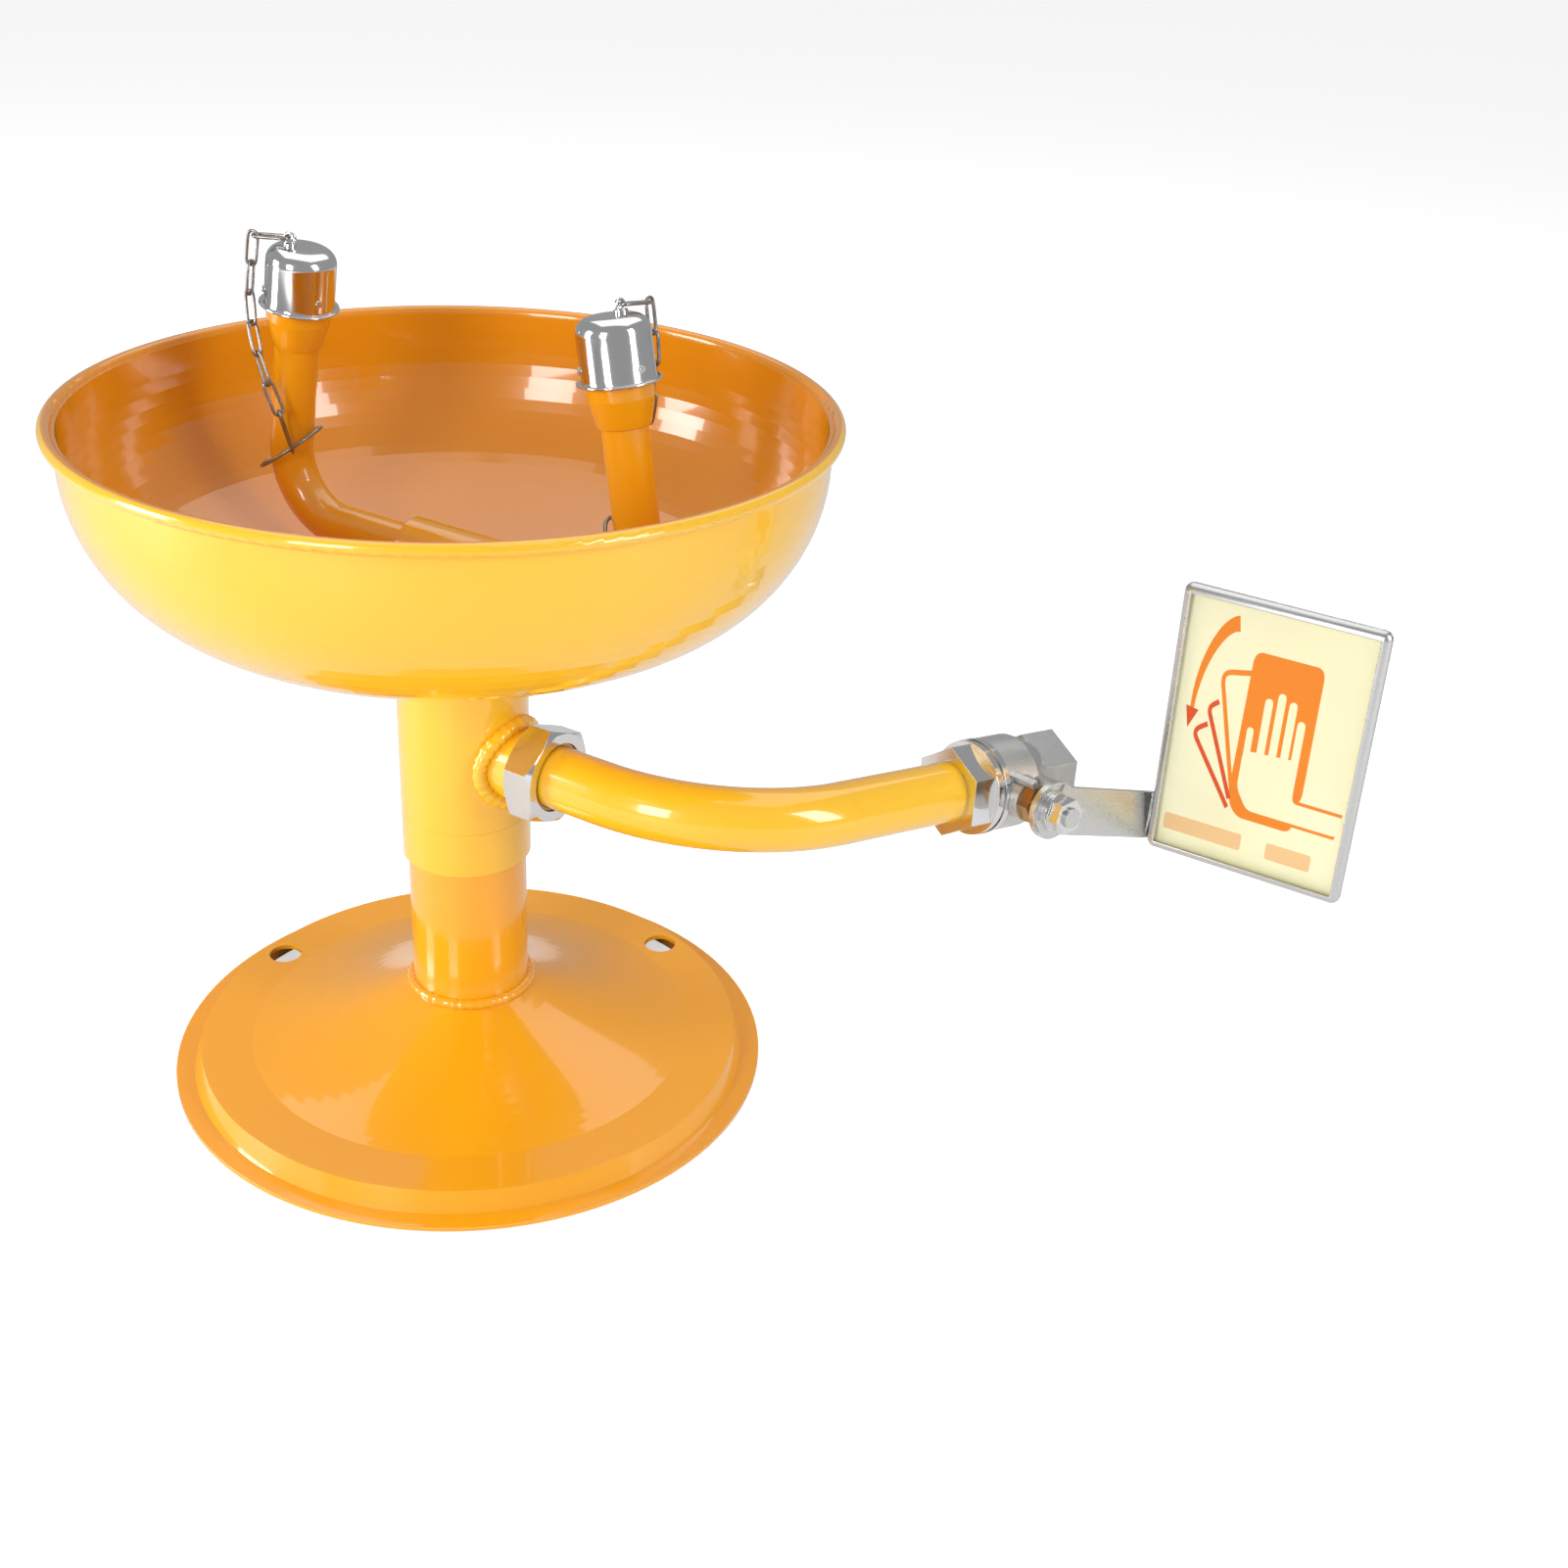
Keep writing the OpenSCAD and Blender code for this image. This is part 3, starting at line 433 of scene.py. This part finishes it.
# %% [markdown]
# ## Dust caps
# A pressed cap has soft shoulders and a rolled lip. Both caps are turned on a lathe: the Screw
# modifier sweeps a profile round an axis. The axis is the one that the cap slides along, and
# the profile takes its height and its radii from the exact solid.

# %% Turn the caps
CAP_WALL, SHOULDER, LIP = 0.8 * MM, 5.6 * MM, 1.1 * MM


def quarter(centre, radius, first, last, steps=8):
    """Points along an arc in the profile's plane, angles in degrees."""
    angles = [math.radians(first + (last - first) * i / steps) for i in range(steps + 1)]
    return [(centre[0] + radius * math.cos(a), centre[1] + radius * math.sin(a)) for a in angles]


def turn_cap(side):
    axis = Vector(next(j["axis"] for j in frame["record"]["behaviour"]["joints"]
                       if j["name"] == side + "_cap_lift")).normalized()
    points = [v.co for v in nodes[side + "_cap_shell"].data.vertices]
    centre = sum(points, Vector()) / len(points)
    along = [(p - centre).dot(axis) for p in points]
    radii = [(p - centre - axis * a).length for p, a in zip(points, along)]
    foot, height = min(along), max(along) - min(along)
    flange = max(radii)
    wall = max(r for r, a in zip(radii, along) if a > foot + 3 * MM)
    profile = [(0, height), (0.35 * wall, height - 0.03 * MM)]
    profile += quarter((wall - SHOULDER, height - SHOULDER - 0.1 * MM), SHOULDER, 90, 0)
    profile += [(wall, 2 * LIP), (wall + 0.3 * MM, LIP)]
    profile += quarter((flange - LIP / 2, LIP / 2), LIP / 2, 90, -90)
    profile += [(wall - CAP_WALL, 0)]
    profile += quarter((wall - SHOULDER, height - SHOULDER - 0.1 * MM), SHOULDER - CAP_WALL, 0, 90)
    profile += [(0, height - CAP_WALL - 0.1 * MM)]
    mesh = bpy.data.meshes.new(side + "_turned_cap")
    mesh.from_pydata([(r, 0, z) for r, z in profile],
                     [(i, i + 1) for i in range(len(profile) - 1)], [])
    cap = bpy.data.objects.new(side + "_turned_cap", mesh)
    scene.collection.objects.link(cap)
    pick(cap)
    sweep = cap.modifiers.new("lathe", "SCREW")
    sweep.steps = sweep.render_steps = 72
    sweep.use_merge_vertices = True
    sweep.merge_threshold = 0.01 * MM
    bpy.ops.object.modifier_apply(modifier=sweep.name)
    upright = Vector((0, 0, 1)).rotation_difference(axis).to_matrix().to_4x4()
    cap.data.transform(Matrix.Translation(centre + axis * foot) @ upright)
    bpy.ops.object.mode_set(mode="EDIT")
    bpy.ops.mesh.select_all(action="SELECT")
    bpy.ops.mesh.normals_make_consistent(inside=False)
    bpy.ops.object.mode_set(mode="OBJECT")
    bpy.ops.object.shade_smooth_by_angle(angle=math.radians(40))
    cap.data.materials.append(finishes["polished"])
    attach(cap, side + "_cap")
    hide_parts(side + "_cap_shell")
    print(cap.name, "height", round(height / MM, 1), "wall radius", round(wall / MM, 2), "mm")


for side in ("left", "right"):
    turn_cap(side)

# %% [markdown]
# ## Chains
# Each link is a loop of round wire, hooked through the next. The exact chain has the right
# loops in the right places, but its wire has six flat sides, to keep it light. A copy of it is
# sewn into one skin and rounded by subdivision, and the copy is what is shown.

# %% Round the chains
def round_chain(side):
    chain = nodes[side + "_chain"].copy()
    chain.data = chain.data.copy()
    chain.name = side + "_cap_chain_links"
    scene.collection.objects.link(chain)
    pick(chain)
    bpy.ops.object.mode_set(mode="EDIT")
    bpy.ops.mesh.select_all(action="SELECT")
    bpy.ops.mesh.remove_doubles(threshold=0.00002)
    bpy.ops.mesh.tris_convert_to_quads(face_threshold=math.radians(70),
                                       shape_threshold=math.radians(70))
    bpy.ops.transform.shrink_fatten(value=0.09 * MM)
    bpy.ops.object.mode_set(mode="OBJECT")
    rounding = chain.modifiers.new("round wire", "SUBSURF")
    rounding.levels = rounding.render_levels = 1
    bpy.ops.object.modifier_apply(modifier=rounding.name)
    bpy.ops.object.shade_smooth()
    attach(chain, side + "_cap")
    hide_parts(side + "_chain")
    print(chain.name, "faces:", len(chain.data.polygons))


for side in ("left", "right"):
    round_chain(side)

# %% [markdown]
# ## Push plate
# The plate is one sheet with its edges folded forward into a shallow tray, so that the sign
# lies protected inside a rim. The same can be done by folding: a block is given round corners,
# loses its front, and the sheet that is left gets its thickness inwards.

# %% Fold the plate
def choose(piece, kind, test):
    """Selects the edges or faces of a piece in edit mode whose place passes the test."""
    bpy.ops.object.mode_set(mode="OBJECT")
    mesh = piece.data
    for group in (mesh.vertices, mesh.edges, mesh.polygons):
        group.foreach_set("select", [False] * len(group))
    count = 0
    for element in (mesh.edges if kind == "EDGE" else mesh.polygons):
        corners = [mesh.vertices[i].co for i in element.vertices]
        if test(corners):
            element.select = True
            count += 1
    bpy.ops.object.mode_set(mode="EDIT")
    bpy.ops.mesh.select_mode(type=kind)
    return count


CORNER, SHEET = 3 * MM, 0.9 * MM
plate_low, plate_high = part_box("push_plate")
middle = (plate_low + plate_high) / 2
size = plate_high - plate_low
deselect()
bpy.ops.mesh.primitive_cube_add(size=1, location=middle, scale=size)
plate = bpy.context.object
plate.name = "folded_push_plate"
bpy.ops.object.transform_apply(location=True, rotation=True, scale=True)
found = choose(plate, "EDGE", lambda ends: abs(ends[0].y - ends[1].y) > size.y / 2)
bpy.ops.mesh.bevel(offset=CORNER, offset_type="OFFSET", segments=8, affect="EDGES")
choose(plate, "FACE", lambda corners: all(abs(c.y - plate_low.y) < 1e-5 for c in corners))
bpy.ops.mesh.delete(type="FACE")
bpy.ops.mesh.select_all(action="SELECT")
bpy.ops.mesh.normals_make_consistent(inside=False)
bpy.ops.object.mode_set(mode="OBJECT")
wall = plate.modifiers.new("sheet", "SOLIDIFY")
wall.thickness = SHEET
wall.offset = -1
bpy.ops.object.modifier_apply(modifier=wall.name)
ease = plate.modifiers.new("eased edges", "BEVEL")
ease.width = 0.4 * MM
ease.segments = 2
ease.angle_limit = math.radians(40)
bpy.ops.object.modifier_apply(modifier=ease.name)
bpy.ops.object.shade_smooth_by_angle(angle=math.radians(35))
plate.data.materials.append(finishes["steel"])
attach(plate, "lever")
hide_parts("push_plate")
print("plate:", found, "rounded corners,", len(plate.data.polygons), "faces")

# %% [markdown]
# ## The sign
# A plain picture shows what to do: a hand pushes a panel, and an arrow says which way it goes.
# It is drawn as flat shapes a few hundredths of a millimetre thick, one layer over another, as
# a screen printer would lay down ink. Each shape is a filled flat curve made into a mesh. The
# coordinates run from 0 to 1 across the plate and down it.

# %% Print the sign
INK = 0.03 * MM
sign_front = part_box("plate_label")[0].y


def rounded(points, radius, steps=6):
    """The corners of an outline, each turned into a small curve."""
    made = []
    for i, corner in enumerate(points):
        corner, before = Vector(corner), Vector(points[i - 1])
        after = Vector(points[(i + 1) % len(points)])
        reach = min(radius, (before - corner).length / 2, (after - corner).length / 2)
        start = corner + (before - corner).normalized() * reach
        end = corner + (after - corner).normalized() * reach
        for k in range(steps + 1):
            t = k / steps
            made.append(start * (1 - t) ** 2 + corner * 2 * t * (1 - t) + end * t ** 2)
    return made


def stroke(points, widths):
    """The outline of a line that runs through the points with a width at each."""
    left, right = [], []
    for i, (point, width) in enumerate(zip(points, widths)):
        ahead_of = Vector(points[min(i + 1, len(points) - 1)]) - Vector(points[max(i - 1, 0)])
        normal = Vector((-ahead_of.y, ahead_of.x)).normalized() * width / 2
        left.append(Vector(point) + normal)
        right.append(Vector(point) - normal)
    return left + right[::-1]


def print_shape(name, outlines, layer, material):
    curve = bpy.data.curves.new(name, "CURVE")
    curve.dimensions = "2D"
    curve.fill_mode = "BOTH"
    curve.extrude = INK / 2
    for outline in outlines:
        spline = curve.splines.new("POLY")
        spline.points.add(len(outline) - 1)
        for point, (u, v) in zip(spline.points, outline):
            point.co = (plate_low.x + u * size.x, plate_high.z - v * size.z, 0, 1)
        spline.use_cyclic_u = True
    shape = bpy.data.objects.new(name, curve)
    scene.collection.objects.link(shape)
    pick(shape)
    bpy.ops.object.convert(target="MESH")
    shape = bpy.context.object
    shape.rotation_euler.x = math.pi / 2
    shape.location.y = sign_front - INK * (layer + 0.5)
    bpy.ops.object.transform_apply(location=True, rotation=True, scale=True)
    shape.data.materials.clear()
    shape.data.materials.append(material)
    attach(shape, "lever")
    print(name, "faces:", len(shape.data.polygons))


def ink(name, colour, second):
    return finish(
        name, colour, second, uneven,
        {"Fine scale": 400.0, "Broad scale": 20.0, "Low roughness": 0.32, "High roughness": 0.38},
        bump=0.000003, edge=0)


orange_ink = ink("orange ink", (0.95, 0.26, 0.003), (0.93, 0.25, 0.003))
red_ink = ink("red ink", (0.78, 0.085, 0.003), (0.76, 0.080, 0.003))
faint_ink = ink("faint ink", (0.93, 0.62, 0.30), (0.92, 0.58, 0.26))

label_low, label_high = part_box("plate_label")
margin = (SHEET + 0.3 * MM) * Vector((1, 0, 1))
deselect()
bpy.ops.mesh.primitive_cube_add(
    size=1, location=(middle.x, (label_low.y + label_high.y) / 2, middle.z),
    scale=(size.x - 2 * margin.x, label_high.y - label_low.y, size.z - 2 * margin.z))
sheet = bpy.context.object
sheet.name = "sign_sheet"
bpy.ops.object.transform_apply(location=True, rotation=True, scale=True)
choose(sheet, "EDGE", lambda ends: abs(ends[0].y - ends[1].y) > 0.1 * MM)
bpy.ops.mesh.bevel(offset=CORNER - SHEET, offset_type="OFFSET", segments=5, affect="EDGES")
bpy.ops.object.mode_set(mode="OBJECT")
sheet.data.materials.append(finishes["label"])
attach(sheet, "lever")
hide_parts("plate_label")
print("sign sheet:", tuple(round(c / MM, 1) for c in sheet.dimensions), "mm")

print_shape("sign_panel", [
    rounded([(0.38, 0.18), (0.73, 0.18), (0.73, 0.66), (0.71, 0.70), (0.71, 0.80), (0.42, 0.80),
             (0.365, 0.74)], 0.045),
], 0, orange_ink)
print_shape("sign_sleeve", [[(0.69, 0.676), (0.94, 0.676), (0.92, 0.776), (0.69, 0.776)]],
            1, orange_ink)


def finger(u, top, width=0.040, bottom=0.60):
    half = width / 2
    return rounded(
        [(u - half, top), (u + half, top), (u + half, bottom), (u - half, bottom)], half)


fingers = [finger(0.49, 0.335), finger(0.55, 0.305), finger(0.61, 0.325), finger(0.664, 0.385),
           finger(0.422, 0.455, 0.034, 0.66)]
palm = rounded([(0.403, 0.545), (0.684, 0.53), (0.684, 0.688), (0.955, 0.688), (0.935, 0.764),
                (0.47, 0.764), (0.403, 0.69)], 0.03)
for i, outline in enumerate(fingers):
    print_shape("sign_finger_%d" % (i + 1), [outline], 2, finishes["label"])
print_shape("sign_palm", [palm], 3, finishes["label"])

LINE = 0.02
for i, (low, high, end) in enumerate((((0.375, 0.70), (0.235, 0.285), (0.385, 0.262)),
                                      ((0.372, 0.74), (0.195, 0.425), (0.245, 0.395)),
                                      ((0.37, 0.775), (0.135, 0.525), (0.205, 0.487)))):
    bend = rounded([low, high, end], 0.05)[7:14]
    path = [Vector(low)] + bend + [Vector(end)]
    print_shape("sign_fan_%d" % (i + 1), [stroke(path, [LINE] * len(path))], 1,
                orange_ink if i == 0 else red_ink)

sweep = [(0.285 - 0.172 * math.sin(a), 0.10 + 0.345 * (1 - math.cos(a)) ** 0.85)
         for a in (i / 14 * math.pi / 2 for i in range(15))]
print_shape("sign_arrow", [stroke(sweep, [0.058 - 0.0028 * i for i in range(15)])], 1, orange_ink)
print_shape("sign_arrow_head", [[(0.082, 0.438), (0.148, 0.446), (0.104, 0.52)]], 2, red_ink)
print_shape("sign_bars", [
    rounded([(0.06, 0.862), (0.47, 0.862), (0.47, 0.925), (0.06, 0.925)], 0.012),
    rounded([(0.60, 0.862), (0.83, 0.862), (0.83, 0.925), (0.60, 0.925)], 0.012),
], 1, faint_ink)
